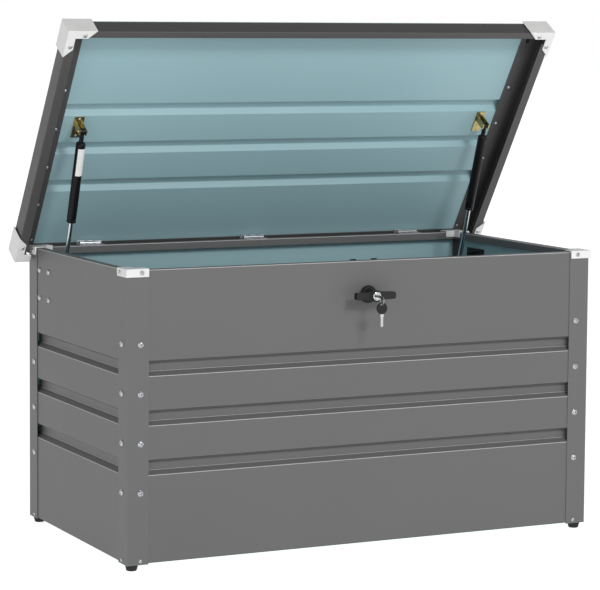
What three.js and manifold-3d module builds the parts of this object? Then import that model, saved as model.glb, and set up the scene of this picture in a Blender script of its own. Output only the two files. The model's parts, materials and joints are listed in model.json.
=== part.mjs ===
// Deck storage box in folded sheet steel, lid held open by two gas struts.
// Millimetres, +Z up, front of the box towards -Y, floor at Z = 0.
import * as THREE from 'three';
import Module from 'manifold-3d';
import { mergeVertices } from 'three/addons/utils/BufferGeometryUtils.js';

const wasm = await Module();
wasm.setup();

// ---------------------------------------------------------------- driving dimensions

const GAP = 0.3; // running gap between touching pieces
const CENTRE_Y = 27; // places the open box's bounding box over the origin

const BODY_W = 1110; // over the corner posts
const BODY_D = 575;
const FOOT_H = 13;
const RIM_Z = 624; // top of the wall panels
const SHEET = 1; // wall, floor and lid sheet
const STEEL = 1.2; // posts and lid rails

const POST_LEG = 48;
const POST_TOP = RIM_Z - 1;
const PANEL_SET = STEEL + GAP; // wall panel's outer face behind the post's face
const PANEL_SHORT = 16; // front and back panels stop this far from the corner
const PANEL_SHORT_SIDE = 24;
const PANEL_FOOT = FOOT_H + 2;

const CHANNEL_TOP = 435.5; // upper bend of the highest wall channel
const CHANNEL_H = 32;
const CHANNEL_DEEP = 12;
const CHANNEL_PITCH = 102.7;
const CHANNEL_RUN_UPPER = 5;
const CHANNEL_RUN_LOWER = 9;
const CHANNELS = 3;
const RIM_FOLD = 20; // rim fold, inwards
const RIM_DROP = 17; // and down again

const HINGE_Y = 283; // hinge pin, measured from the body's centre
const HINGE_Z = 628;
const HINGE_PITCH = 410;
const OPEN_DEG = 56.8;

const LID_W = 1189; // over the lid's rails
const LID_FRONT = -308.5;
const LID_BACK = 301.5;
const LIP_Z = 598; // underside of the lid's skirt when shut
const SKIN_Z = 637; // top of the rails' flanges when shut
const LIP_FRONT = 15.5;
const LIP_SIDE = 21;
const FLANGE_FRONT = 30;
const FLANGE_SIDE = 51;
const FLANGE_REAR = 15;
const LID_RIB_FIRST = -95.6; // front bend of the foremost lid rib
const LID_RIB_STEEP = 3;
const LID_RIB_INSET = 19.5; // ribs stop this far inside the rails' faces

const STRUT_X = 506;
const STRUT_LID = { y: -44, z: 607 }; // strut's pivot on the shut lid
const STRUT_WALL = { y: 201, z: 551 }; // and on the side wall
const TUBE_R = 10.5;
const TUBE_START = 28;
const TUBE_END = 214;
const ROD_R = 4.8;
const ROD_START = 172;

const LOCK_Z = 552;
const HANDLE_W = 94;
const HANDLE_H = 17;
const BARREL_R = 9.5;
const KEY_HEAD_R = 10.2;
const KEY_NECK = 1;
const RING_R = 8.5;

// ---------------------------------------------------------------- materials

const finish = {
  anthracite: { color: 0x6f7073, roughness: 0.48, metalness: 0.35 },
  lidGrey: { color: 0x646466, roughness: 0.48, metalness: 0.35 },
  lidSkin: { color: 0x93b5ba, roughness: 0.5, metalness: 0.2 },
  galvanised: { color: 0x8b9294, roughness: 0.45, metalness: 0.8 },
  whitePlastic: { color: 0xeeeeec, roughness: 0.45, metalness: 0 },
  rubber: { color: 0x1a1b1c, roughness: 0.8, metalness: 0 },
  zinc: { color: 0x9fa3a6, roughness: 0.4, metalness: 0.9 },
  yellowZinc: { color: 0xa8925a, roughness: 0.4, metalness: 0.9 },
  blackPaint: { color: 0x151617, roughness: 0.4, metalness: 0.2 },
  chrome: { color: 0xd5d8da, roughness: 0.12, metalness: 1 },
  blackPlastic: { color: 0x1c1d1f, roughness: 0.42, metalness: 0 },
};

const paint = (name) => new THREE.MeshStandardMaterial(finish[name]);

// ---------------------------------------------------------------- solids

function signedVolume(positions, index) {
  const [a, b, c] = [new THREE.Vector3(), new THREE.Vector3(), new THREE.Vector3()];
  let sum = 0;
  for (let i = 0; i < index.length; i += 3) {
    a.fromArray(positions, 3 * index[i]);
    b.fromArray(positions, 3 * index[i + 1]);
    c.fromArray(positions, 3 * index[i + 2]);
    sum += a.dot(b.cross(c));
  }
  return sum;
}

// A closed three.js geometry as a manifold solid with its faces pointing out.
function solid(geometry) {
  const bare = geometry.clone();
  bare.deleteAttribute('normal');
  bare.deleteAttribute('uv');
  const merged = mergeVertices(bare, 1e-4);
  const vertProperties = new Float32Array(merged.attributes.position.array);
  const triVerts = new Uint32Array(merged.index.array);
  if (signedVolume(vertProperties, triVerts) < 0) {
    for (let i = 0; i < triVerts.length; i += 3) {
      [triVerts[i], triVerts[i + 1]] = [triVerts[i + 1], triVerts[i]];
    }
  }
  return new wasm.Manifold(new wasm.Mesh({ numProp: 3, vertProperties, triVerts }));
}

const join = (...parts) => parts.reduce((sum, part) => sum.add(part));
const cut = (whole, ...tools) => tools.reduce((rest, tool) => rest.subtract(tool), whole);

function geometryOf(manifold) {
  const mesh = manifold.getMesh();
  const geometry = new THREE.BufferGeometry();
  geometry.setAttribute('position', new THREE.BufferAttribute(new Float32Array(mesh.vertProperties), 3));
  geometry.setIndex(new THREE.BufferAttribute(new Uint32Array(mesh.triVerts), 1));
  geometry.computeVertexNormals();
  return geometry;
}

function block(x, y, z) {
  const lows = [x, y, z].map((span) => Math.min(...span));
  const sizes = [x, y, z].map((span) => Math.abs(span[1] - span[0]));
  const geometry = new THREE.BoxGeometry(...sizes);
  geometry.translate(lows[0] + sizes[0] / 2, lows[1] + sizes[1] / 2, lows[2] + sizes[2] / 2);
  return solid(geometry);
}

// Round bar along one axis ('x', 'y' or 'z') from one station to another.
function bar(axis, radius, from, to, centre = [0, 0], sides = 24) {
  const geometry = new THREE.CylinderGeometry(radius, radius, Math.abs(to - from), sides);
  geometry.translate(0, (from + to) / 2, 0);
  if (axis === 'x') geometry.rotateZ(-Math.PI / 2);
  if (axis === 'z') geometry.rotateX(Math.PI / 2);
  const [p, q] = centre;
  if (axis === 'x') geometry.translate(0, p, q);
  if (axis === 'y') geometry.translate(p, 0, q);
  if (axis === 'z') geometry.translate(p, q, 0);
  return solid(geometry);
}

// Profile of [radius, station] points turned about the local Y axis.
function turned(points, sides = 28) {
  return solid(new THREE.LatheGeometry(points.map(([r, y]) => new THREE.Vector2(r, y)), sides));
}

// Folded sheet: the mid-line's points, rounded at each bend and thickened both ways.
function sheetOutline(points, thickness, bend = 1.3, steps = 3) {
  const line = points.map(([u, v]) => new THREE.Vector2(u, v));
  const stations = [];
  const normal = (d) => new THREE.Vector2(-d.y, d.x);
  for (let i = 0; i < line.length; i += 1) {
    const before = i > 0 ? line[i].clone().sub(line[i - 1]).normalize() : null;
    const after = i < line.length - 1 ? line[i + 1].clone().sub(line[i]).normalize() : null;
    if (!before || !after) {
      stations.push([line[i], normal(before || after)]);
      continue;
    }
    const turn = Math.atan2(before.cross(after), before.dot(after));
    const set = bend * Math.tan(Math.abs(turn) / 2);
    const start = line[i].clone().addScaledVector(before, -set);
    const side = Math.sign(turn);
    const centre = start.clone().addScaledVector(normal(before), side * bend);
    for (let k = 0; k <= steps; k += 1) {
      const n = normal(before).rotateAround(new THREE.Vector2(), (turn * k) / steps);
      stations.push([centre.clone().addScaledVector(n, -side * bend), n]);
    }
  }
  const half = thickness / 2;
  const left = stations.map(([p, n]) => p.clone().addScaledVector(n, half));
  const right = stations.map(([p, n]) => p.clone().addScaledVector(n, -half));
  return new THREE.Shape([...left, ...right.reverse()]);
}

// Outline in the Y-Z plane drawn out along X, centred on X = 0.
function drawnAlongX(shape, length) {
  const geometry = new THREE.ExtrudeGeometry(shape, { depth: length, bevelEnabled: false, steps: 1 });
  geometry.translate(0, 0, -length / 2);
  const axes = [new THREE.Vector3(0, 1, 0), new THREE.Vector3(0, 0, 1), new THREE.Vector3(1, 0, 0)];
  geometry.applyMatrix4(new THREE.Matrix4().makeBasis(...axes));
  return solid(geometry);
}

// Outline in the X-Z plane drawn out from y = near to y = far.
function drawnAlongY(shape, near, far) {
  const options = { depth: far - near, bevelEnabled: false, steps: 1, curveSegments: 12 };
  const geometry = new THREE.ExtrudeGeometry(shape, options);
  geometry.rotateX(Math.PI / 2);
  geometry.translate(0, far, 0);
  return solid(geometry);
}

// ---------------------------------------------------------------- scene graph

const object = new THREE.Group();
const box = new THREE.Group();
box.position.y = CENTRE_Y;
object.add(box);

function place(parent, name, manifold, look) {
  const mesh = new THREE.Mesh(geometryOf(manifold), paint(look));
  mesh.name = name;
  parent.add(mesh);
  return mesh;
}

function groupAt(parent, x, y, z, turnZ = 0) {
  const group = new THREE.Group();
  group.position.set(x, y, z);
  group.rotation.z = turnZ;
  parent.add(group);
  return group;
}

// In a corner's own frame both arms run along +X and +Y, with the corner at the origin.
const QUARTER = Math.PI / 2;
const CORNERS = [
  { name: 'front_left', x: -1, y: -1, turn: 0, backArm: null },
  { name: 'front_right', x: 1, y: -1, turn: QUARTER, backArm: null },
  { name: 'back_right', x: 1, y: 1, turn: 2 * QUARTER, backArm: 'x' },
  { name: 'back_left', x: -1, y: 1, turn: 3 * QUARTER, backArm: 'y' },
];

// The same plate laid along both arms of a corner.
function cornerPlates(along, across, height) {
  return join(block(along, across, height), block(across, along, height));
}

// ---------------------------------------------------------------- walls and floor

// Channels pressed into a sheet: mid-line points between the first and last plain bands.
function channelPoints(face, firstBend, side) {
  const points = [];
  for (let i = 0; i < CHANNELS; i += 1) {
    const start = firstBend + i * CHANNEL_PITCH;
    const deep = face + side * CHANNEL_DEEP;
    points.push([face, start]);
    points.push([deep, start + CHANNEL_RUN_LOWER]);
    points.push([deep, start + CHANNEL_H - CHANNEL_RUN_UPPER]);
    points.push([face, start + CHANNEL_H]);
  }
  return points;
}

function wallPanel(length) {
  const face = PANEL_SET + SHEET / 2;
  const lowest = CHANNEL_TOP - CHANNEL_H - (CHANNELS - 1) * CHANNEL_PITCH;
  const foot = PANEL_FOOT + SHEET / 2;
  const rim = RIM_Z - SHEET / 2;
  const fold = face + RIM_FOLD - SHEET;
  return drawnAlongX(sheetOutline([
    [face + RIM_FOLD - SHEET, foot],
    [face, foot],
    ...channelPoints(face, lowest, 1),
    [face, rim],
    [fold, rim],
    [fold, RIM_Z - RIM_DROP],
  ], SHEET), length);
}

function buildWalls() {
  const longWall = BODY_W - 2 * PANEL_SHORT;
  const shortWall = BODY_D - 2 * PANEL_SHORT_SIDE;
  const front = groupAt(box, 0, -BODY_D / 2, 0, 0);
  const spindleHole = bar('y', 11, -5, 10, [0, LOCK_Z]);
  place(front, 'panel_front', cut(wallPanel(longWall), spindleHole), 'anthracite');
  const back = groupAt(box, 0, BODY_D / 2, 0, 2 * QUARTER);
  place(back, 'panel_back', wallPanel(longWall), 'anthracite');
  const left = groupAt(box, -BODY_W / 2, 0, 0, -QUARTER);
  place(left, 'panel_left', wallPanel(shortWall), 'anthracite');
  const right = groupAt(box, BODY_W / 2, 0, 0, QUARTER);
  place(right, 'panel_right', wallPanel(shortWall), 'anthracite');
}

// The floor rests on the walls' bottom folds and is stiffened by shallow raised ribs.
function buildFloor() {
  const edge = PANEL_SET + SHEET + 2; // clear of the bottom fold's bend
  const halfDepth = BODY_D / 2 - edge;
  const level = PANEL_FOOT + SHEET + GAP + SHEET / 2;
  const points = [[-halfDepth, level]];
  for (const rib of [-150, 0, 150]) {
    points.push([rib - 20, level], [rib - 14, level + 5], [rib + 14, level + 5], [rib + 20, level]);
  }
  points.push([halfDepth, level]);
  place(box, 'floor_panel', drawnAlongX(sheetOutline(points, SHEET), BODY_W - 2 * edge), 'galvanised');
}

// ---------------------------------------------------------------- corner posts, caps and feet

const POST_PLATE = 36; // foot plate inside the post's angle
const FOOT_INSET = 17;

function cornerPost() {
  const angle = cornerPlates([0, POST_LEG], [0, STEEL], [FOOT_H, POST_TOP]);
  return join(angle, block([0, POST_PLATE], [0, POST_PLATE], [FOOT_H, FOOT_H + 1.6]));
}

function bodyCap() {
  const arm = 47;
  const proud = -4;
  const bottom = RIM_Z - 14.5;
  const top = RIM_Z + 3;
  const inner = PANEL_SET + RIM_FOLD + GAP;
  const lip = inner + 2.5;
  return join(
    cornerPlates([proud, arm], [proud, -GAP], [bottom, top]),
    cornerPlates([proud, arm], [proud, lip], [RIM_Z + GAP, top]),
    cornerPlates([inner, arm], [inner, lip], [RIM_Z - 12, top]),
  );
}

function foot() {
  const top = FOOT_H - GAP;
  return turned([[0, 0], [10, 0], [11, 1], [13.5, top - 1.5], [13, top], [0, top]]);
}

function buildCorners() {
  for (const corner of CORNERS) {
    const at = groupAt(box, (corner.x * BODY_W) / 2, (corner.y * BODY_D) / 2, 0, corner.turn);
    place(at, `post_${corner.name}`, cornerPost(), 'anthracite');
    place(at, `body_cap_${corner.name}`, bodyCap(), 'whitePlastic');
    const pad = place(at, `foot_${corner.name}`, foot(), 'rubber');
    pad.position.set(FOOT_INSET, FOOT_INSET, 0);
    pad.rotation.x = QUARTER;
  }
}

// ---------------------------------------------------------------- lid

// The lid is drawn shut and then turned back about the hinge pins.
const lidTurn = groupAt(box, 0, HINGE_Y, HINGE_Z);
lidTurn.rotation.x = -THREE.MathUtils.degToRad(OPEN_DEG);
const lid = groupAt(lidTurn, 0, -HINGE_Y, -HINGE_Z);

const LID_HALF = LID_W / 2;
const FLANGE_Z = SKIN_Z - STEEL / 2; // mid-plane of the rails' flanges
const LIP_MID = LIP_Z + STEEL / 2;
const PANEL_Z = SKIN_Z + GAP + SHEET / 2; // mid-plane of the lid sheet

// The rib's slopes mirror the walls' channels: the steep one faces the front edge.
function lidRibPoints() {
  const points = [];
  for (let i = 0; i < CHANNELS; i += 1) {
    const start = LID_RIB_FIRST + i * CHANNEL_PITCH;
    points.push([start, PANEL_Z]);
    points.push([start + LID_RIB_STEEP, PANEL_Z + CHANNEL_DEEP]);
    points.push([start + CHANNEL_H - CHANNEL_RUN_LOWER, PANEL_Z + CHANNEL_DEEP]);
    points.push([start + CHANNEL_H, PANEL_Z]);
  }
  return points;
}

function lidPanel() {
  const reach = LID_HALF - LID_RIB_INSET;
  const ends = [LID_FRONT + GAP, LID_BACK - GAP];
  const profile = [[ends[0], PANEL_Z], ...lidRibPoints(), [ends[1], PANEL_Z]];
  let sheet = drawnAlongX(sheetOutline(profile, SHEET), 2 * reach);
  const level = [PANEL_Z - SHEET / 2, PANEL_Z + SHEET / 2];
  for (const side of [-1, 1]) {
    const strip = block([side * (reach - 1), side * (LID_HALF - GAP)], ends, level);
    sheet = sheet.add(strip);
  }
  const ribs = lidRibPoints();
  for (let i = 0; i < CHANNELS; i += 1) {
    const outline = ribs.slice(4 * i, 4 * i + 4).map(([y, z]) => new THREE.Vector2(y, z));
    for (const side of [-1, 1]) {
      const end = drawnAlongX(new THREE.Shape(outline), SHEET);
      sheet = sheet.add(end.translate([side * (reach - SHEET / 2), 0, 0]));
    }
  }
  return sheet;
}

function frontRail() {
  const face = LID_FRONT + STEEL / 2;
  return drawnAlongX(sheetOutline([
    [LID_FRONT + LIP_FRONT, LIP_MID],
    [face, LIP_MID],
    [face, FLANGE_Z],
    [LID_FRONT + FLANGE_FRONT, FLANGE_Z],
  ], STEEL, 1.5), LID_W);
}

// Shallow behind the hinges, so that it swings clear of the back wall.
function rearRail() {
  const face = LID_BACK - STEEL / 2;
  const outline = [
    [face, HINGE_Z + GAP],
    [face, FLANGE_Z],
    [LID_BACK - FLANGE_REAR, FLANGE_Z],
  ];
  return drawnAlongX(sheetOutline(outline, STEEL, 1.5), LID_W - 2 * (FLANGE_SIDE + GAP));
}

function sideRail() {
  const start = LID_FRONT + FLANGE_FRONT + GAP;
  const outline = [
    [LIP_SIDE, LIP_MID],
    [STEEL / 2, LIP_MID],
    [STEEL / 2, FLANGE_Z],
    [FLANGE_SIDE, FLANGE_Z],
  ];
  return drawnAlongX(sheetOutline(outline, STEEL, 1.5), LID_BACK - start);
}

// Half-space beyond a plane, as a large turned block.
function beyond(direction, distance) {
  const size = 2400;
  const geometry = new THREE.BoxGeometry(size, size, size);
  geometry.translate(0, 0, size / 2);
  const axis = new THREE.Vector3(...direction);
  const length = axis.length();
  axis.normalize();
  geometry.applyQuaternion(new THREE.Quaternion().setFromUnitVectors(new THREE.Vector3(0, 0, 1), axis));
  geometry.translate(...axis.multiplyScalar(distance / length).toArray());
  return solid(geometry);
}

// Moulded corner: two faces, the lip's cover and the skin's cover, with pointed ends.
function lidCap(backArm) {
  const arm = 70;
  const proud = -3.5;
  const cover = 16;
  const low = LIP_Z - 3.5;
  const skin = PANEL_Z + SHEET / 2 + GAP;
  const high = skin + 4.5;
  const shell = join(
    cornerPlates([proud, arm], [proud, -GAP], [low, high]),
    cornerPlates([proud, arm], [proud, cover], [low, LIP_Z - GAP]),
    cornerPlates([proud, arm], [proud, cover], [skin, high]),
  );
  const reach = 60; // along the edge between face and lip
  const pointed = cut(shell, beyond([1, 1, 0], reach));
  if (!backArm) return pointed;
  const clear = [33.5, 80]; // beyond this the back arm stays above the body's rim
  const across = [-10, 30];
  const depth = [LIP_Z - 10, HINGE_Z + GAP];
  const relief = backArm === 'x' ? block(clear, across, depth) : block(across, clear, depth);
  return cut(pointed, relief);
}

function buildLid() {
  place(lid, 'lid_panel', lidPanel(), 'lidSkin');
  place(lid, 'lid_rail_front', frontRail(), 'lidGrey');
  place(lid, 'lid_rail_rear', rearRail(), 'lidGrey');
  const middle = (LID_FRONT + FLANGE_FRONT + GAP + LID_BACK) / 2;
  for (const [name, side] of [['left', -1], ['right', 1]]) {
    const at = groupAt(lid, side * LID_HALF, middle, 0, side * QUARTER);
    place(at, `lid_rail_${name}`, sideRail(), 'lidGrey');
  }
  for (const corner of CORNERS) {
    const y = corner.y < 0 ? LID_FRONT : LID_BACK;
    const at = groupAt(lid, corner.x * LID_HALF, y, 0, corner.turn);
    place(at, `lid_cap_${corner.name}`, lidCap(corner.backArm), 'whitePlastic');
  }
}

// ---------------------------------------------------------------- hinges

const KNUCKLE_R = 3.4;
const PIN_R = 1.4;
const KNUCKLES = [-19, 0, 19]; // the body leaf's knuckles, each 13 long
const LEAF_W = 60;

// Body leaf with its three knuckles and the pin, lying on the back rim.
function bodyLeaf() {
  const level = [RIM_Z + GAP, RIM_Z + 1.5];
  const edge = HINGE_Y - KNUCKLE_R - 0.5;
  let leaf = block([-LEAF_W / 2, LEAF_W / 2], [HINGE_Y - 16, edge], level);
  leaf = leaf.add(bar('x', PIN_R, -25.5, 25.5, [HINGE_Y, HINGE_Z], 12));
  for (const x of KNUCKLES) {
    const ends = [x - 6.5, x + 6.5];
    const tongue = block(ends, [edge - 1, HINGE_Y], level);
    leaf = leaf.add(join(bar('x', KNUCKLE_R, ...ends, [HINGE_Y, HINGE_Z], 20), tongue));
  }
  return leaf;
}

// Lid leaf: its two narrow knuckles turn on the pin between the body leaf's.
function lidLeaf() {
  const under = FLANGE_Z - STEEL / 2 - GAP;
  const plate = block([-LEAF_W / 2, LEAF_W / 2], [HINGE_Y - 0.6, HINGE_Y + 15], [under - 1.2, under]);
  const bore = bar('x', PIN_R + 0.4, -40, 40, [HINGE_Y, HINGE_Z], 12);
  let leaf = plate;
  for (const x of [-9.5, 9.5]) {
    const ends = [x - 2.7, x + 2.7];
    const web = block(ends, [HINGE_Y - 0.6, HINGE_Y + 0.6], [HINGE_Z + 2, under]);
    leaf = leaf.add(join(bar('x', KNUCKLE_R, ...ends, [HINGE_Y, HINGE_Z], 20), web));
  }
  return cut(leaf, bore);
}

function buildHinges() {
  for (const [name, x] of [['left', -HINGE_PITCH], ['middle', 0], ['right', HINGE_PITCH]]) {
    place(groupAt(box, x, 0, 0), `hinge_body_leaf_${name}`, bodyLeaf(), 'zinc');
    place(groupAt(lid, x, 0, 0), `hinge_lid_leaf_${name}`, lidLeaf(), 'zinc');
  }
}

// ---------------------------------------------------------------- gas struts

const EYE_HALF = 5.5;
const BALL_HALF = 6.5;

// Yellow clevis on the lid sheet: base plate, two ears and the pivot pin.
function lidBracket() {
  const top = SKIN_Z;
  const { y, z } = STRUT_LID;
  const base = block([-11, 11], [y - 18, y + 36], [top - 2, top]);
  const ear = (x) => block([x, x + 2.5], [y - 6.5, y + 6.5], [z - 7, top - 1]);
  const pin = bar('x', 3, -11, 11, [y, z], 16);
  return join(base, ear(-EYE_HALF - GAP - 2.5), ear(EYE_HALF + GAP), pin);
}

// Wall bracket on the right-hand wall; side = -1 gives the left-hand one.
function wallBracket(side) {
  const { y, z } = STRUT_WALL;
  const wall = BODY_W / 2 - PANEL_SET - SHEET - GAP;
  const reach = STRUT_X + BALL_HALF + GAP;
  const plate = block([side * (wall - 2), side * wall], [y - 43, y + 35], [z - 48, z + 38]);
  const arm = block([side * reach, side * (wall - 1)], [y - 10, y + 10], [z - 8, z + 8]);
  const rib = block([side * (wall - 22), side * (wall - 1)], [y - 2, y + 2], [z - 30, z + 30]);
  return join(plate, arm, rib);
}

// Along the strut: Y runs from the lid's pivot at the origin towards the wall's pivot.
function gasTube() {
  const bore = ROD_R + GAP;
  const body = turned([
    [0, 5], [5, 5], [5, TUBE_START - 2], [TUBE_R - 1.5, TUBE_START - 2], [TUBE_R, TUBE_START],
    [TUBE_R, TUBE_END - 9], [TUBE_R - 0.8, TUBE_END - 8], [TUBE_R - 0.8, TUBE_END - 6],
    [TUBE_R, TUBE_END - 5], [TUBE_R, TUBE_END - 1.5], [TUBE_R - 1.5, TUBE_END],
    [bore, TUBE_END], [bore, 55], [0, 55],
  ]);
  const eye = bar('x', 7.5, -EYE_HALF, EYE_HALF);
  return cut(join(body, eye), bar('x', 3 + GAP, -20, 20, [0, 0], 16));
}

function gasRod(length) {
  const socket = bar('x', 7.5, -BALL_HALF, BALL_HALF, [length, 0]);
  const shaft = turned([
    [0, ROD_START], [ROD_R, ROD_START], [ROD_R, length - 22],
    [6.5, length - 20], [6.5, length], [0, length],
  ], 20);
  return join(shaft, socket);
}

function buildStruts() {
  // Wall pivot in the shut lid's frame, with the lid standing open.
  const fromHinge = new THREE.Vector2(STRUT_WALL.y - HINGE_Y, STRUT_WALL.z - HINGE_Z);
  fromHinge.rotateAround(new THREE.Vector2(), THREE.MathUtils.degToRad(OPEN_DEG));
  const pivot = new THREE.Vector2(STRUT_LID.y - HINGE_Y, STRUT_LID.z - HINGE_Z);
  const along = fromHinge.sub(pivot);
  for (const [name, side] of [['left', -1], ['right', 1]]) {
    place(groupAt(lid, side * STRUT_X, 0, 0), `strut_lid_bracket_${name}`, lidBracket(), 'yellowZinc');
    place(box, `strut_wall_bracket_${name}`, wallBracket(side), 'blackPaint');
    const strut = groupAt(lid, side * STRUT_X, STRUT_LID.y, STRUT_LID.z);
    strut.rotation.x = along.angle();
    place(strut, `gas_tube_${name}`, gasTube(), 'blackPaint');
    place(strut, `gas_rod_${name}`, gasRod(along.length()), 'chrome');
  }
}

// ---------------------------------------------------------------- lock, handle and keys

// In the lock's frame Y = 0 is the posts' outer plane and -Y points to the user.
const lock = groupAt(box, 0, -BODY_D / 2, LOCK_Z);
const NECK_R = 10;
const BAR_BACK = -25.5;
const BAR_FRONT = -38.5;
const BOSS_FRONT = -39.5;
const CAM_Y = 8;

function rosette() {
  const seat = PANEL_SET - GAP;
  const hole = NECK_R + 0.6;
  return turned([[hole, seat], [19, seat], [19, -2.5], [16.5, -6], [hole, -6], [hole, seat]], 36);
}

// T handle: a bar tapering to its ends, a round boss and the spindle through the panel.
function tHandle() {
  const half = HANDLE_W / 2;
  const tall = HANDLE_H / 2;
  const end = tall - 1;
  const r = 4;
  const outline = new THREE.Shape();
  outline.moveTo(0, -tall);
  outline.lineTo(half - r, -end);
  outline.absarc(half - r, -end + r, r, -QUARTER, 0);
  outline.absarc(half - r, end - r, r, 0, QUARTER);
  outline.lineTo(0, tall);
  outline.lineTo(r - half, end);
  outline.absarc(r - half, end - r, r, QUARTER, 2 * QUARTER);
  outline.absarc(r - half, r - end, r, 2 * QUARTER, 3 * QUARTER);
  outline.closePath();
  const grip = drawnAlongY(outline, BAR_FRONT, BAR_BACK);
  const boss = bar('y', 12.5, BOSS_FRONT, BAR_BACK + 6, [0, 0], 32);
  const spindle = bar('y', NECK_R, BAR_BACK, CAM_Y, [0, 0], 28);
  return join(grip, boss, spindle);
}

function lockRing() {
  const back = BOSS_FRONT - GAP;
  const front = back - 2.4;
  const points = [[6.6, back], [BARREL_R, back], [BARREL_R, front + 1], [8.4, front], [6.6, front]];
  return turned([...points, points[0]], 32);
}

const PLUG_FRONT = BOSS_FRONT - GAP - 1.8;

// The inserted key lies flat: neck, round head and the hole that the ring runs through.
function insertedKey() {
  const start = PLUG_FRONT - GAP;
  const centre = start - KEY_NECK - KEY_HEAD_R;
  const neck = block([-3.5, 3.5], [start - KEY_NECK - 1, start], [-1, 1]);
  const head = bar('z', KEY_HEAD_R, -1, 1, [0, centre], 32);
  const hole = bar('z', 3.7, -5, 5, [0, centre - 3.7], 16);
  return cut(join(neck, head), hole);
}

const KEY_TIP = PLUG_FRONT - GAP - KEY_NECK - 2 * KEY_HEAD_R;
const RING_AT = { y: KEY_TIP + 1.2, z: -6.5 };

function keyRing() {
  const torus = new THREE.TorusGeometry(RING_R, 0.65, 8, 36);
  torus.rotateY(QUARTER);
  torus.translate(0, RING_AT.y, RING_AT.z);
  return solid(torus);
}

// The spare key hangs from the ring: round head with a slot, neck and notched blade.
function hangingKey() {
  const y = [RING_AT.y - 1, RING_AT.y + 1];
  const wire = RING_AT.z - RING_R;
  const rimBottom = wire + 1.2;
  const centre = rimBottom + 2.5 - 12.5;
  const head = bar('y', 12.5, ...y, [0, centre], 32);
  const slot = block([-4.5, 4.5], [y[0] - 5, y[1] + 5], [rimBottom - 4, rimBottom]);
  const neck = block([-4, 4], [y[0] + 0.1, y[1] - 0.1], [centre - 18, centre - 11]);
  const tip = centre - 40;
  const blade = new THREE.Shape();
  blade.moveTo(-3.2, centre - 17);
  blade.lineTo(-3.2, tip + 3);
  blade.lineTo(0, tip);
  blade.lineTo(3.2, tip + 3);
  for (let i = 0; i < 4; i += 1) {
    const notch = tip + 5 + 4.6 * i;
    blade.lineTo(3.2, notch);
    blade.lineTo(1.8 - 0.3 * (i % 2), notch + 1.6);
    blade.lineTo(3.2, notch + 3.4);
  }
  blade.lineTo(3.2, centre - 17);
  blade.closePath();
  const shank = drawnAlongY(blade, y[0] + 0.2, y[1] - 0.2);
  return join(cut(head, slot), neck, shank);
}

// Cam that the spindle turns behind the panel.
function latchCam() {
  const y = [CAM_Y + GAP, CAM_Y + GAP + 2.5];
  const hub = bar('y', 10, ...y, [0, 0], 24);
  const nut = bar('y', 7, y[1] - 0.5, y[1] + 5, [0, 0], 6);
  const arm = block([0, 47], y, [-8, 8]);
  const tip = bar('y', 8, ...y, [47, 0], 24);
  return join(hub, nut, arm, tip);
}

// Tray that covers the cam from inside and hangs behind the rim's fold by two tabs.
function lockCover() {
  const back = [22.1, 23.6];
  const wall = PANEL_SET + SHEET + GAP;
  const low = 518 - LOCK_Z;
  const high = RIM_Z - RIM_DROP - GAP - LOCK_Z;
  const plate = block([-62, 62], back, [low, RIM_Z - 4 - LOCK_Z]);
  const bottom = block([-62, 62], [wall, back[1]], [low, low + 1.5]);
  const side = (x) => block([x, x + 1.5], [wall, back[1]], [low, high]);
  const tab = (x) => block([x - 7, x + 7], back, [high, RIM_Z + 2.5 - LOCK_Z]);
  return join(plate, bottom, side(-62), side(60.5), tab(-25), tab(25));
}

function buildLock() {
  place(lock, 'lock_rosette', rosette(), 'blackPlastic');
  place(lock, 'lock_cover', lockCover(), 'blackPlastic');
  place(lock, 't_handle', tHandle(), 'blackPlastic');
  place(lock, 'latch_cam', latchCam(), 'zinc');
  place(lock, 'lock_ring', lockRing(), 'chrome');
  place(lock, 'lock_plug', bar('y', 6.3, BOSS_FRONT - GAP, PLUG_FRONT, [0, 0], 28), 'chrome');
  place(lock, 'key_inserted', insertedKey(), 'blackPlastic');
  place(lock, 'key_ring', keyRing(), 'chrome');
  place(lock, 'key_hanging', hangingKey(), 'blackPlastic');
}

buildWalls();
buildFloor();
buildCorners();
buildLid();
buildHinges();
buildStruts();
buildLock();

export default object;
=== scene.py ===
import json
import math
import random

import bmesh
import bpy
from mathutils import Matrix, Vector


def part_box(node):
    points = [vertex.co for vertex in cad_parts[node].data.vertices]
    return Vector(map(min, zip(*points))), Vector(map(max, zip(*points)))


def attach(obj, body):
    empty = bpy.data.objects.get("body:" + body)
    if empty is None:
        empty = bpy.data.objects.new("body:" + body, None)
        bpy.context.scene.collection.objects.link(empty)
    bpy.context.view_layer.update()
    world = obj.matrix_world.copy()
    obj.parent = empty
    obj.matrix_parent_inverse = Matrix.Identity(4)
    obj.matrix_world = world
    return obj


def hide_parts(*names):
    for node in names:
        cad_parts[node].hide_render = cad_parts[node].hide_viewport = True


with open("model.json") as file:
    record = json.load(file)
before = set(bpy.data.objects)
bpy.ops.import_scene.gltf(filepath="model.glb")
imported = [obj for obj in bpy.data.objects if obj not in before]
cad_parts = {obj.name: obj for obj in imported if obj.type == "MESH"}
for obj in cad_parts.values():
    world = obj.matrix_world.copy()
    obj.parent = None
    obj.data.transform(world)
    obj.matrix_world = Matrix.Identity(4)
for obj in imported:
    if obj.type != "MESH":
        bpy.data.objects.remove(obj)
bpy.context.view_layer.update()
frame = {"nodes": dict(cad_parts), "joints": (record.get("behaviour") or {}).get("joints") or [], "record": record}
random.seed(7)

# ---------------------------------------------------------------- places taken from the frame

MM = 0.001
BODY = "box_body"
OPEN = math.radians(56.8)
CENTRE_Y = 27 * MM
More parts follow.
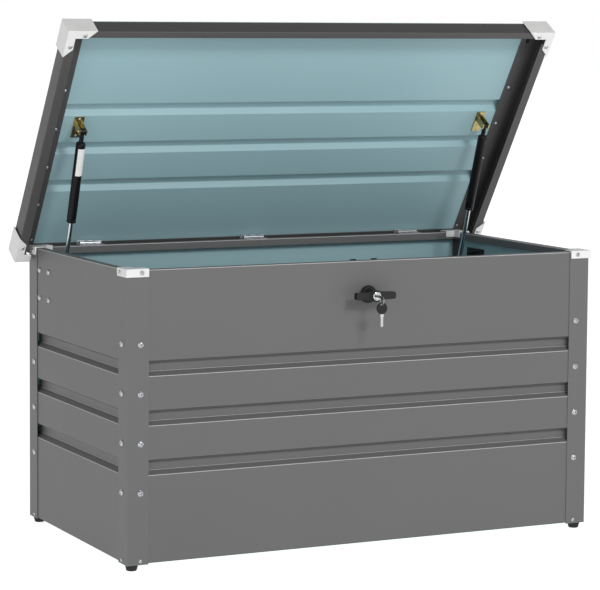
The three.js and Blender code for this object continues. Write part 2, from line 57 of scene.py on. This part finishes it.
# Each corner's two arms: the directions in which its post's faces run from the outer edge.
CORNERS = {
    "front_left": (Vector((1, 0, 0)), Vector((0, 1, 0))),
    "front_right": (Vector((0, 1, 0)), Vector((-1, 0, 0))),
    "back_right": (Vector((-1, 0, 0)), Vector((0, -1, 0))),
    "back_left": (Vector((0, -1, 0)), Vector((1, 0, 0))),
}
SIDES = {"left": -1, "right": 1}
HINGES = {"left": -410, "middle": 0, "right": 410}

hinge_joint = next(j for j in frame["joints"] if j["name"] == "lid_hinge")
HINGE = Vector(hinge_joint["pos_m"])
LID_FROM_SHUT = (
    Matrix.Translation(HINGE) @ Matrix.Rotation(-OPEN, 4, "X") @ Matrix.Translation(-HINGE)
)


def body_of(node):
    """The behaviour body that holds a CAD node."""
    bodies = frame["record"]["behaviour"]["bodies"]
    return next(name for name, nodes in bodies.items() if node in nodes)


def node_slot(node):
    """The material slot that the record gives a CAD node."""
    return next(s["material_slot"] for s in frame["record"]["subparts"] if s["node"] == node)


def body_point(x, y, z):
    """A point of the body, given in millimetres with y from the body's centre."""
    return Vector((x * MM, y * MM + CENTRE_Y, z * MM))


def shut_point(x, y, z):
    """Where a point of the shut lid, given in the same way, is with the lid standing open."""
    return LID_FROM_SHUT @ body_point(x, y, z)


def shut_direction(x, y, z):
    return LID_FROM_SHUT.to_3x3() @ Vector((x, y, z))


# ---------------------------------------------------------------- material building blocks


class Tree:
    """A small helper round one material's node tree; sizes are in metres."""

    def __init__(self, name):
        self.material = bpy.data.materials.new(name)
        self.material.use_nodes = True
        self.nodes = self.material.node_tree.nodes
        self.links = self.material.node_tree.links
        self.shader = self.nodes["Principled BSDF"]
        self.place = self.nodes.new("ShaderNodeTexCoord").outputs["Object"]

    def link(self, source, target):
        self.links.new(source, target)

    def stretched(self, scale):
        node = self.nodes.new("ShaderNodeMapping")
        node.inputs["Scale"].default_value = scale
        self.link(self.place, node.inputs["Vector"])
        return node.outputs["Vector"]

    def noise(self, size, detail=3.0, rough=0.5, place=None):
        """Noise whose main features are about `size` metres across."""
        node = self.nodes.new("ShaderNodeTexNoise")
        node.inputs["Scale"].default_value = 1 / size
        node.inputs["Detail"].default_value = detail
        node.inputs["Roughness"].default_value = rough
        self.link(place or self.place, node.inputs["Vector"])
        return node.outputs["Fac"]

    def spread(self, value, low, high, start=0.3, end=0.7):
        node = self.nodes.new("ShaderNodeMapRange")
        node.inputs["From Min"].default_value = start
        node.inputs["From Max"].default_value = end
        node.inputs["To Min"].default_value = low
        node.inputs["To Max"].default_value = high
        self.link(value, node.inputs["Value"])
        return node.outputs["Result"]

    def mix(self, fac, first, second):
        """Mixes two colours, each a tuple or a socket, by a socket."""
        node = self.nodes.new("ShaderNodeMix")
        node.data_type = "RGBA"
        for socket, value in ((node.inputs[6], first), (node.inputs[7], second)):
            if isinstance(value, tuple):
                socket.default_value = (*value, 1)
            else:
                self.link(value, socket)
        self.link(fac, node.inputs[0])
        return node.outputs[2]

    def bump(self, height, distance, strength, under=None):
        node = self.nodes.new("ShaderNodeBump")
        node.inputs["Strength"].default_value = strength
        node.inputs["Distance"].default_value = distance
        self.link(height, node.inputs["Height"])
        if under is not None:
            self.link(under, node.inputs["Normal"])
        return node.outputs["Normal"]

    def product(self, first, second):
        node = self.nodes.new("ShaderNodeMath")
        node.operation = "MULTIPLY"
        self.link(first, node.inputs[0])
        self.link(second, node.inputs[1])
        return node.outputs[0]

    def edges(self):
        """1 beside a bend or an edge, 0 on flats."""
        bevel = self.nodes.new("ShaderNodeBevel")
        bevel.samples = 4
        bevel.inputs["Radius"].default_value = 0.0013
        geometry = self.nodes.new("ShaderNodeNewGeometry")
        dot = self.nodes.new("ShaderNodeVectorMath")
        dot.operation = "DOT_PRODUCT"
        self.link(bevel.outputs["Normal"], dot.inputs[0])
        self.link(geometry.outputs["Normal"], dot.inputs[1])
        return self.spread(dot.outputs["Value"], 1.0, 0.0, 0.86, 0.985)

    def painted_bend_light(self):
        """Masks of the rounded bends that look up, for a painted highlight, and of those that look down, for a
        painted shade.
        """
        split = self.nodes.new("ShaderNodeSeparateXYZ")
        self.link(self.nodes.new("ShaderNodeNewGeometry").outputs["Normal"], split.inputs[0])
        z = split.outputs["Z"]
        up = self.product(self.spread(z, 0.0, 1.0, 0.06, 0.16), self.spread(z, 1.0, 0.0, 0.66, 0.78))
        down = self.product(self.spread(z, 0.0, 1.0, -0.08, -0.2), self.spread(z, 1.0, 0.0, -0.8, -0.9))
        return up, down


def tinted(colour, factor):
    return tuple(min(1.0, channel * factor) for channel in colour)


def powder_coat(name, colour, roughness=0.46, edge_wear_and_highlight_amount=0.5, painted_bend_light=False):
    """Satin powder coat: orange peel, faint cloudiness, edges lightened partly by thinned paint and partly as a
    painted highlight; painted bend light on request.
    """
    tree = Tree(name)
    cloud = tree.spread(tree.noise(0.3, 1.0), 0.0, 1.0)
    base = tree.mix(cloud, tinted(colour, 0.985), tinted(colour, 1.015))
    speck = tree.spread(tree.noise(0.0009, 2.0), 0.0, 0.015, 0.55, 0.75)
    base = tree.mix(speck, base, tinted(colour, 1.5))
    # Edges lightened by a mix of worn, thinned paint and a painted edge highlight.
    edge_wear_and_highlight = tree.spread(tree.noise(0.02, 5.0, 0.65), edge_wear_and_highlight_amount * 0.5, edge_wear_and_highlight_amount, 0.45, 0.72)
    base = tree.mix(tree.product(tree.edges(), edge_wear_and_highlight), base, tinted(colour, 1.8))
    # Painted light on the rounded bends: a bright painted highlight where they look up, a dark painted shade where
    # they look down.
    if painted_bend_light:
        up, down = tree.painted_bend_light()
        base = tree.mix(up, base, tinted(colour, 4.2))
        base = tree.mix(down, base, tinted(colour, 0.3))
    tree.link(base, tree.shader.inputs["Base Color"])
    rough = tree.spread(tree.noise(0.11, 3.0), roughness - 0.015, roughness + 0.015)
    tree.link(rough, tree.shader.inputs["Roughness"])
    peel = tree.bump(tree.noise(0.0016, 2.0), 0.00002, 0.1)
    waves = tree.bump(tree.noise(0.35, 1.0), 0.0003, 0.2, peel)
    tree.link(waves, tree.shader.inputs["Normal"])
    tree.shader.inputs["Specular IOR Level"].default_value = 0.32
    return tree.material


def moulded(name, colour, roughness, grain=0.0007, depth=0.00004):
    """Moulded plastic or rubber with a fine grain and rubbed edges."""
    tree = Tree(name)
    cloud = tree.spread(tree.noise(0.02, 3.0), 0.0, 1.0)
    base = tree.mix(cloud, tinted(colour, 0.97), tinted(colour, 1.03))
    rubbed = tree.spread(tree.noise(0.006, 5.0, 0.7), 0.0, 0.5, 0.5, 0.8)
    lighter = tinted(colour, 1.6) if max(colour) < 0.3 else tinted(colour, 0.9)
    base = tree.mix(tree.product(tree.edges(), rubbed), base, lighter)
    tree.link(base, tree.shader.inputs["Base Color"])
    rough = tree.spread(tree.noise(0.012, 4.0), roughness - 0.06, roughness + 0.08)
    tree.link(rough, tree.shader.inputs["Roughness"])
    tree.link(tree.bump(tree.noise(grain, 2.0), depth, 0.6), tree.shader.inputs["Normal"])
    tree.shader.inputs["Specular IOR Level"].default_value = 0.28
    return tree.material


def metal(name, colour, roughness, second=None, streak=(1, 1, 1)):
    """Plated or ground metal: clouded plating, fine streaks and rubbed roughness."""
    tree = Tree(name)
    cloud = tree.spread(tree.noise(0.006, 4.0, 0.6), 0.0, 1.0)
    base = tree.mix(cloud, tinted(colour, 0.93), second or tinted(colour, 1.06))
    tree.link(base, tree.shader.inputs["Base Color"])
    tree.shader.inputs["Metallic"].default_value = 1.0
    lines = tree.noise(0.0008, 3.0, 0.6, tree.stretched(streak))
    rough = tree.spread(lines, roughness * 0.75, roughness * 1.35)
    tree.link(rough, tree.shader.inputs["Roughness"])
    tree.link(tree.bump(lines, 0.00003, 0.4), tree.shader.inputs["Normal"])
    return tree.material


def gloss_paint(name, colour, roughness=0.3):
    """Smooth black lacquer with dust and handling smears."""
    tree = Tree(name)
    smear = tree.spread(tree.noise(0.03, 5.0, 0.65, tree.stretched((1, 1, 0.3))), 0.0, 1.0)
    tree.link(tree.mix(smear, colour, tinted(colour, 1.4)), tree.shader.inputs["Base Color"])
    rough = tree.spread(smear, roughness, roughness + 0.16, 0.0, 1.0)
    tree.link(rough, tree.shader.inputs["Roughness"])
    tree.link(tree.bump(tree.noise(0.004, 2.0), 0.00005, 0.3), tree.shader.inputs["Normal"])
    tree.shader.inputs["Specular IOR Level"].default_value = 0.18
    return tree.material


def paper(name):
    """Blank printed label: satin film with a faint yellow cast and handling marks."""
    tree = Tree(name)
    stain = tree.spread(tree.noise(0.012, 4.0), 0.0, 1.0)
    base = tree.mix(stain, (0.74, 0.74, 0.72), (0.62, 0.63, 0.61))
    tree.link(base, tree.shader.inputs["Base Color"])
    tree.link(tree.spread(stain, 0.38, 0.55, 0.0, 1.0), tree.shader.inputs["Roughness"])
    tree.link(tree.bump(tree.noise(0.002, 2.0), 0.00004, 0.3), tree.shader.inputs["Normal"])
    return tree.material


GREY = (0.110, 0.110, 0.1105)
RAIL_GREY = (0.062, 0.061, 0.061)
TEAL = (0.268, 0.414, 0.449)

LOOKS = {
    # The walls' rounded bends carry a painted highlight on top and painted shade underneath.
    "wall": powder_coat("wall_coat", GREY, painted_bend_light=True),
    "post": powder_coat("post_coat", tinted(GREY, 1.03)),
    "rail": powder_coat("rail_coat", RAIL_GREY),
    "skin": powder_coat("lid_skin_coat", tinted(RAIL_GREY, 1.05)),
    "inner": powder_coat("inner_coat", TEAL, 0.42, edge_wear_and_highlight_amount=0.1),
    "white": moulded("cap_plastic", (0.65, 0.65, 0.645), 0.42, 0.0009),
    "rubber": moulded("foot_rubber", (0.016, 0.016, 0.017), 0.7, 0.0012, 0.00008),
    "black": moulded("lock_plastic", (0.009, 0.0095, 0.010), 0.4),
    "key": moulded("key_head_plastic", (0.007, 0.007, 0.008), 0.36, 0.0005),
    # Near-black painted shade for the drain slot's opening.
    "slot_shade": moulded("painted_slot_shade", (0.006, 0.006, 0.006), 0.6),
    "bracket": gloss_paint("bracket_lacquer", (0.016, 0.017, 0.018), 0.36),
    "tube": gloss_paint("tube_lacquer", (0.004, 0.004, 0.005)),
    "chrome": metal("chrome_plate", (0.66, 0.67, 0.69), 0.12, streak=(1, 1, 0.1)),
    "rod": metal("rod_chrome", (0.62, 0.63, 0.65), 0.16, streak=(1, 1, 0.04)),
    "zinc": metal("zinc_plate", (0.52, 0.53, 0.55), 0.34),
    "screw": metal("screw_zinc", (0.50, 0.51, 0.53), 0.3),
    "yellow": metal("yellow_zinc", (0.50, 0.38, 0.14), 0.32, second=(0.46, 0.42, 0.20)),
    "label": paper("label_film"),
}

# ---------------------------------------------------------------- mesh building blocks


def finish_mesh(bm, name, sharp=35):
    """Smooth shading, broken where neighbouring faces meet at more than `sharp` degrees."""
    bm.normal_update()
    limit = math.radians(sharp)
    for face in bm.faces:
        face.smooth = True
    for edge in bm.edges:
        edge.smooth = len(edge.link_faces) != 2 or edge.calc_face_angle(0) < limit
    mesh = bpy.data.meshes.new(name)
    bm.to_mesh(mesh)
    bm.free()
    return mesh


def piece(name, mesh, body, slot, *looks, matrix=None):
    """Puts a mesh in the scene, riding on a body; a screw's mesh brings its own material."""
    obj = bpy.data.objects.new(name, mesh)
    bpy.context.scene.collection.objects.link(obj)
    for look in looks:
        mesh.materials.append(LOOKS[look])
    if matrix is not None:
        obj.matrix_world = matrix
    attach(obj, body)
    return obj


def softened(node, width, looks, segments=2, choose=None, angle=50):
    """The CAD node's own shape with its sharp edges rounded over, shown in its place."""
    source = frame["nodes"][node]
    bm = bmesh.new()
    bm.from_mesh(source.data)
    bmesh.ops.transform(bm, matrix=source.matrix_world, verts=bm.verts)
    bmesh.ops.remove_doubles(bm, verts=bm.verts, dist=1e-6)
    bmesh.ops.dissolve_limit(bm, angle_limit=math.radians(0.6), verts=bm.verts, edges=bm.edges)
    limit = math.radians(angle)
    hard = [e for e in bm.edges if len(e.link_faces) == 2 and e.calc_face_angle(0) > limit]
    if width:
        bmesh.ops.bevel(
            bm, geom=hard, offset=width, offset_type="OFFSET", segments=segments,
            profile=0.6, affect="EDGES", clamp_overlap=True,
        )
    if choose:
        bm.normal_update()
        for face in bm.faces:
            face.material_index = choose(face.calc_center_median(), face.normal)
    name = f"{node}_soft"
    obj = piece(name, finish_mesh(bm, name), body_of(node), node_slot(node), *looks)
    normals = obj.modifiers.new("weighted", "WEIGHTED_NORMAL")
    normals.keep_sharp = True
    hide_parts(node)
    return obj


def turned(profile, sides):
    """bmesh of a profile of (radius, height) points turned about Z."""
    bm = bmesh.new()
    rings = []
    for radius, height in profile:
        if radius == 0:
            rings.append([bm.verts.new((0, 0, height))])
            continue
        steps = [2 * math.pi * k / sides for k in range(sides)]
        ring = [(radius * math.cos(a), radius * math.sin(a), height) for a in steps]
        rings.append([bm.verts.new(point) for point in ring])
    for low, high in zip(rings, rings[1:]):
        for k in range(sides):
            following = (k + 1) % sides
            ring = [low[k % len(low)], low[following % len(low)]]
            ring += [high[following % len(high)], high[k % len(high)]]
            unique = list(dict.fromkeys(ring))
            if len(unique) > 2:
                bm.faces.new(unique)
    bmesh.ops.recalc_face_normals(bm, faces=bm.faces)
    return bm


def facing(point, normal, spin=0.0):
    """Matrix that stands a piece at a point with its +Z along the normal."""
    turn = Vector(normal).to_track_quat("Z", "Y").to_matrix().to_4x4()
    return Matrix.Translation(point) @ turn @ Matrix.Rotation(spin, 4, "Z")


# ---------------------------------------------------------------- sizes of the fastenings, in mm

POST_SCREW_ROWS = [470.5, 367.8, 265.1, 162.4]
POST_SCREW_INSET = 30
FOOT_SCREW_ROW = 21
CAP_SCREW_ROW = 618
CAP_SCREW_INSET = 31
CAP_WALL = 4

# The lid's places are those of the shut lid, with y from the body's centre.
LID_HALF = 594.5
RAIL_FRONT = -308.5
RAIL_BACK = 301.5
FLANGE_UNDER = 635.8
RAIL_SCREW_ROWS = [-131.2, -28.5, 74.2, 176.9]
RAIL_SCREW_INSET = 39
RAIL_END_ROWS = {"front": RAIL_FRONT + 37, "back": RAIL_BACK - 26}
RAIL_END_INSET = 44
CAP_UNDER = 594.5
CAP_EDGE = 8
CAP_REACH = 36
CLEVIS_UNDER = 635
CLEVIS_SCREW_ROWS = [-56, -27, -13]

SLOT_X = LID_HALF - 34
SLOT_Y = RAIL_FRONT + 44
SLOT_RADIUS = 3
SLOT_HALF = 5
SLOT_SIDES = 24

STRUT_X = 506
STRUT_LID = (-44, 607)
STRUT_WALL = (201, 551)
WALL_FACE = 553.5
WALL_BOLTS = [(225, 577), (169, 577), (225, 515), (169, 515)]

HINGE_SCREW_PITCH = 24
HINGE_LEAF_MIDDLE = 272.5
HINGE_LEAF_TOP = 625.5

LABEL_RADIUS = 10.62
LABEL_START, LABEL_END = 38, 101
LABEL_WRAP = math.radians(170)
LABEL_STEPS = 24

# ---------------------------------------------------------------- screws


def screw_mesh(name, diameter, height):
    """Pan head on a thin washer, with a pressed cross recess."""
    r = diameter / 2
    bm = turned([
        (0, height * 0.35), (r * 0.16, height * 0.35), (r * 0.30, height * 0.97),
        (r * 0.5, height * 0.93), (r * 0.72, height * 0.78), (r * 0.88, height * 0.5),
        (r * 0.93, height * 0.22), (r, height * 0.16), (r, 0), (0, 0),
    ], 24)
    for vert in bm.verts:
        flat = Vector((vert.co.x, vert.co.y, 0)).length
        if vert.co.z > height * 0.9 and flat < r * 0.55:
            angle = math.atan2(vert.co.y, vert.co.x) % (math.pi / 2)
            near = min(angle, math.pi / 2 - angle)
            if near < 0.2:
                vert.co.z -= height * 0.5
    mesh = finish_mesh(bm, name, 50)
    mesh.materials.append(LOOKS["screw"])
    return mesh


SCREW_LARGE = screw_mesh("screw_large", 13.5 * MM, 3.4 * MM)
SCREW_CAP = screw_mesh("screw_cap", 10 * MM, 2.6 * MM)
SCREW_SMALL = screw_mesh("screw_small", 8 * MM, 2.2 * MM)
SCREW_TINY = screw_mesh("screw_tiny", 5.5 * MM, 1.2 * MM)
BOLT = screw_mesh("bolt_head", 12.5 * MM, 4.2 * MM)


def screw(name, mesh, body, slot, point, normal):
    """A screw head on a face, turned by chance as a driver leaves it."""
    spin = random.uniform(0, math.pi / 2)
    return piece(name, mesh, body, slot, matrix=facing(point, normal, spin))


def corner_point(corner):
    """Ground point of a post's outer corner."""
    low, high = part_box(f"post_{corner}")
    x = low[0] if "left" in corner else high[0]
    y = low[1] if "front" in corner else high[1]
    return Vector((x, y, 0))


def post_screws():
    for corner, arms in CORNERS.items():
        origin = corner_point(corner)
        for k, along in enumerate(arms):
            outward = -arms[1 - k]
            face = origin + along * POST_SCREW_INSET * MM
            for row, z in enumerate(POST_SCREW_ROWS):
                point = face + Vector((0, 0, z * MM))
                name = f"post_screw_{corner}_{k}_{row}"
                screw(name, SCREW_LARGE, BODY, "hinge_zinc", point, outward)
            low = face + Vector((0, 0, FOOT_SCREW_ROW * MM))
            screw(f"post_foot_screw_{corner}_{k}", SCREW_SMALL, BODY, "hinge_zinc", low, outward)
            if outward.y > 0.5:
                continue  # the opened lid's rear rail comes too close to the back face
            cap = origin + along * CAP_SCREW_INSET * MM + outward * CAP_WALL * MM
            cap.z = CAP_SCREW_ROW * MM
            screw(f"body_cap_screw_{corner}_{k}", SCREW_CAP, BODY, "hinge_zinc", cap, outward)


def lid_screws():
    down = shut_direction(0, 0, -1)
    for name, side in SIDES.items():
        for k, y in enumerate(RAIL_SCREW_ROWS):
            point = shut_point(side * (LID_HALF - RAIL_SCREW_INSET), y, FLANGE_UNDER)
            screw(f"rail_screw_{name}_{k}", SCREW_SMALL, "lid", "hinge_zinc", point, down)
        for end, y in RAIL_END_ROWS.items():
            point = shut_point(side * (LID_HALF - RAIL_END_INSET), y, FLANGE_UNDER)
            screw(f"rail_end_screw_{name}_{end}", SCREW_TINY, "lid", "hinge_zinc", point, down)
        for end, y, x in (
            ("front_long", RAIL_FRONT + CAP_EDGE, LID_HALF - CAP_REACH),
            ("front_side", RAIL_FRONT + CAP_REACH, LID_HALF - CAP_EDGE),
            ("back_side", RAIL_BACK - CAP_REACH, LID_HALF - CAP_EDGE),
        ):
            point = shut_point(side * x, y, CAP_UNDER)
            screw(f"lid_cap_screw_{name}_{end}", SCREW_CAP, "lid", "hinge_zinc", point, down)
        for k, y in enumerate(CLEVIS_SCREW_ROWS):
            point = shut_point(side * STRUT_X, y, CLEVIS_UNDER)
            screw(f"bracket_screw_{name}_{k}", SCREW_TINY, "lid", "yellow_zinc", point, down)


def wall_bolts():
    """Heads of the bolts that hold the struts' wall brackets, outside the side walls."""
    for name, side in SIDES.items():
        for k, (y, z) in enumerate(WALL_BOLTS):
            point = body_point(side * WALL_FACE, y, z)
            screw(f"wall_bolt_{name}_{k}", BOLT, BODY, "hinge_zinc", point, (side, 0, 0))


def hinge_screws():
    for name, x in HINGES.items():
        for k, along in enumerate((-HINGE_SCREW_PITCH, 0, HINGE_SCREW_PITCH)):
            point = body_point(x + along, HINGE_LEAF_MIDDLE, HINGE_LEAF_TOP)
            screw(f"hinge_screw_{name}_{k}", SCREW_TINY, BODY, "hinge_zinc", point, (0, 0, 1))


def slot_plate():
    """Oblong drain slot with a rolled rim, near the right rail's free end; a near-black face across its opening is
    painted shade.
    """
    bm = bmesh.new()
    rings = []
    for grow, height in ((0.9, 0), (0.9, 0.5), (0.3, 0.7), (-0.2, 0.45), (-0.6, 0.3)):
        ring = []
        for k in range(SLOT_SIDES):
            angle = 2 * math.pi * k / SLOT_SIDES
            shift = SLOT_HALF if math.sin(angle) >= 0 else -SLOT_HALF
            x = (SLOT_RADIUS + grow) * math.cos(angle)
            y = (SLOT_RADIUS + grow) * math.sin(angle) + shift
            ring.append(bm.verts.new((x * MM, y * MM, height * MM)))
        rings.append(ring)
    for outer, inner in zip(rings, rings[1:]):
        for k in range(SLOT_SIDES):
            following = (k + 1) % SLOT_SIDES
            bm.faces.new((outer[k], outer[following], inner[following], inner[k]))
    # Near-black face across the opening: painted shade for the dark hole of the slot.
    bm.faces.new(rings[-1])
    bmesh.ops.recalc_face_normals(bm, faces=bm.faces)
    mesh = finish_mesh(bm, "rail_slot")
    point = shut_point(SLOT_X, SLOT_Y, FLANGE_UNDER)
    place = facing(point, shut_direction(0, 0, -1))
    piece("rail_slot", mesh, "lid", "strut_black", "slot_shade", matrix=place)


def strut_labels():
    """Blank white film stuck part of the way round each gas tube."""
    radius = LABEL_RADIUS * MM
    faces = (("left", -1, Vector((0.8, -1, 0))), ("right", 1, Vector((0.9, 1, 0))))
    for name, side, middle in faces:
        pivot = shut_point(side * STRUT_X, *STRUT_LID)
        foot = body_point(side * STRUT_X, *STRUT_WALL)
        place = facing(pivot, (foot - pivot).normalized())
        local = place.to_3x3().inverted() @ middle
        centre = math.atan2(local.y, local.x)
        bm = bmesh.new()
        columns = []
        for k in range(LABEL_STEPS + 1):
            angle = centre + LABEL_WRAP * (k / LABEL_STEPS - 0.5)
            x, y = radius * math.cos(angle), radius * math.sin(angle)
            columns.append([bm.verts.new((x, y, z * MM)) for z in (LABEL_START, LABEL_END)])
        for first, second in zip(columns, columns[1:]):
            bm.faces.new((first[0], second[0], second[1], first[1]))
        mesh = finish_mesh(bm, f"strut_label_{name}")
        body = f"strut_tube_{name}"
        piece(f"strut_label_{name}", mesh, body, "white_plastic", "label", matrix=place)


# ---------------------------------------------------------------- walls, posts and lid

# Where a wall's rim fold and foot fold are, measured from its top, its outer face and the ground.
RIM_BAND = 30 * MM
RIM_DEPTH = 17.5 * MM
RIM_SHEET = 1.6 * MM
WALL_SHEET = 1.5 * MM
FOOT_BAND = 50 * MM

WALL_INWARD = {
    "panel_front": Vector((0, 1, 0)), "panel_back": Vector((0, -1, 0)),
    "panel_left": Vector((1, 0, 0)), "panel_right": Vector((-1, 0, 0)),
}


def wall_chooser(node):
    """Grey on the face that is outside the box and on the rim fold, blue-green inside."""
    inward = WALL_INWARD[node]
    low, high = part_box(node)
    outer = min(Vector(low).dot(inward), Vector(high).dot(inward))
    top = high[2]

    def choose(point, normal):
        depth = point.dot(inward) - outer
        toward = normal.dot(inward)
        if depth > RIM_DEPTH and point.z > top - RIM_BAND:
            return 0 if toward > -0.2 else 1
        if point.z > top - RIM_SHEET:
            return 0 if normal.z > -0.2 else 1
        on_foot_fold = depth > WALL_SHEET and normal.z > 0.7 and point.z < FOOT_BAND
        return 1 if toward > 0.1 or on_foot_fold else 0

    return choose


def lid_chooser(point, normal):
    """Blue-green inside, grey outside and on the sheet's cut edges."""
    up = normal.dot(shut_direction(0, 0, 1))
    if abs(up) < 0.05 and abs(normal.x) > 0.7:
        return 1 if normal.x * point.x < 0 else 0
    return 1 if up < -0.05 else 0


def build_shell():
    for node in WALL_INWARD:
        softened(node, 0.25 * MM, ["wall", "inner"], 1, wall_chooser(node))
    softened("floor_panel", 0.25 * MM, ["inner"], 1)
    softened("lid_panel", 0.25 * MM, ["skin", "inner"], 1, lid_chooser)
    for corner in CORNERS:
        softened(f"post_{corner}", 0.3 * MM, ["post"], 2)
        softened(f"body_cap_{corner}", 1.3 * MM, ["white"], 3)
        softened(f"lid_cap_{corner}", 1.4 * MM, ["white"], 3, angle=25)
        softened(f"foot_{corner}", 0.8 * MM, ["rubber"], 3, angle=30)
    for rail in ("front", "rear", "left", "right"):
        softened(f"lid_rail_{rail}", 0.3 * MM, ["rail"], 2)


# ---------------------------------------------------------------- struts, hinges and lock

# In mm: the shank that shows behind the inserted key's head, and the spare key's head from its top.
KEY_SHANK = 1.3
KEY_HEAD = 25.6


def build_fittings():
    for name in SIDES:
        softened(f"strut_wall_bracket_{name}", 1.0 * MM, ["bracket"], 2)
        softened(f"strut_lid_bracket_{name}", 0.6 * MM, ["yellow"], 2)
        softened(f"gas_tube_{name}", 0.5 * MM, ["tube"], 2)
        softened(f"gas_rod_{name}", 0.5 * MM, ["rod"], 2)
    for name in HINGES:
        softened(f"hinge_body_leaf_{name}", 0.3 * MM, ["zinc"], 1)
        softened(f"hinge_lid_leaf_{name}", 0.3 * MM, ["zinc"], 1)
    softened("lock_rosette", 0.8 * MM, ["black"], 3, angle=25)
    softened("lock_cover", 0.5 * MM, ["black"], 2)
    softened("t_handle", 1.6 * MM, ["black"], 4)
    softened("latch_cam", 0.4 * MM, ["zinc"], 2)
    softened("lock_ring", 0.5 * MM, ["chrome"], 3, angle=25)
    softened("lock_plug", 0.4 * MM, ["chrome"], 2)
    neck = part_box("key_inserted")[1][1] - KEY_SHANK * MM
    softened("key_inserted", 0.5 * MM, ["key", "chrome"], 2, lambda p, n: 1 if p.y > neck else 0)
    softened("key_ring", 0, ["chrome"])
    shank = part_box("key_hanging")[1][2] - KEY_HEAD * MM
    softened("key_hanging", 0.35 * MM, ["key", "zinc"], 2, lambda p, n: 1 if p.z < shank else 0)


build_shell()
build_fittings()
post_screws()
lid_screws()
wall_bolts()
hinge_screws()
slot_plate()
strut_labels()

# ---------------------------------------------------------------- studio

SKY_TOP = 0.16
FLOOR_GLOW = 0.86


def studio():
    """White floor that glows, under a sky that is white round the horizon and grey above."""
    bm = bmesh.new()
    bmesh.ops.create_grid(bm, x_segments=8, y_segments=8, size=40.0)
    mesh = finish_mesh(bm, "studio_floor")
    tree = Tree("floor_paper")
    cloud = tree.spread(tree.noise(0.8, 3.0), 0.0, 1.0)
    tree.link(tree.mix(cloud, (0.50, 0.50, 0.50), (0.52, 0.52, 0.52)), tree.shader.inputs["Base Color"])
    tree.shader.inputs["Roughness"].default_value = 0.9
    tree.shader.inputs["Emission Color"].default_value = (1, 1, 1, 1)
    tree.shader.inputs["Emission Strength"].default_value = FLOOR_GLOW
    mesh.materials.append(tree.material)
    floor = bpy.data.objects.new("studio_floor", mesh)
    bpy.context.scene.collection.objects.link(floor)

    world = bpy.data.worlds.new("studio_world")
    world.use_nodes = True
    nodes, links = world.node_tree.nodes, world.node_tree.links
    split = nodes.new("ShaderNodeSeparateXYZ")
    links.new(nodes.new("ShaderNodeTexCoord").outputs["Generated"], split.inputs[0])
    dim = nodes.new("ShaderNodeMapRange")
    for socket, value in (("From Min", 0.25), ("From Max", 0.75), ("To Min", 1.0), ("To Max", SKY_TOP)):
        dim.inputs[socket].default_value = value
    links.new(split.outputs["Z"], dim.inputs["Value"])
    links.new(dim.outputs["Result"], nodes["Background"].inputs["Strength"])
    nodes["Background"].inputs["Color"].default_value = (1, 1, 1, 1)
    bpy.context.scene.world = world
    bpy.context.scene.view_settings.view_transform = "Standard"


def softbox(name, place, target, width, height, power):
    data = bpy.data.lights.new(name, "AREA")
    data.shape = "RECTANGLE"
    data.size = width
    data.size_y = height
    data.energy = power
    light = bpy.data.objects.new(name, data)
    bpy.context.scene.collection.objects.link(light)
    direction = Vector(target) - Vector(place)
    turn = direction.to_track_quat("-Z", "Y").to_matrix().to_4x4()
    light.matrix_world = Matrix.Translation(place) @ turn


def camera():
    """Long lens from the left of the front, a little above the rim."""
    data = bpy.data.cameras.new("photo_camera")
    data.sensor_width = 36
    data.lens = 145.62
    data.shift_x = 0.1
    data.shift_y = -0.1
    cam = bpy.data.objects.new("photo_camera", data)
    bpy.context.scene.collection.objects.link(cam)
    look = Vector((0.4235, 0.9017, -0.0873)).normalized()
    right = Vector((0.9053, -0.4247, 0.0052)).normalized()
    up = right.cross(look)
    turn = Matrix((right, up, -look)).transposed().to_4x4()
    cam.matrix_world = Matrix.Translation((-2.434, -4.8257 + CENTRE_Y, 1.1279)) @ turn
    bpy.context.scene.camera = cam


studio()
softbox("key_light", (0.7, -3.9, 2.9), (0, 0, 0.5), 1.1, 0.9, 95)
softbox("fill_light", (-3.5, -2.6, 1.4), (0.3, 0, 0.8), 2.5, 2.0, 6)
camera()
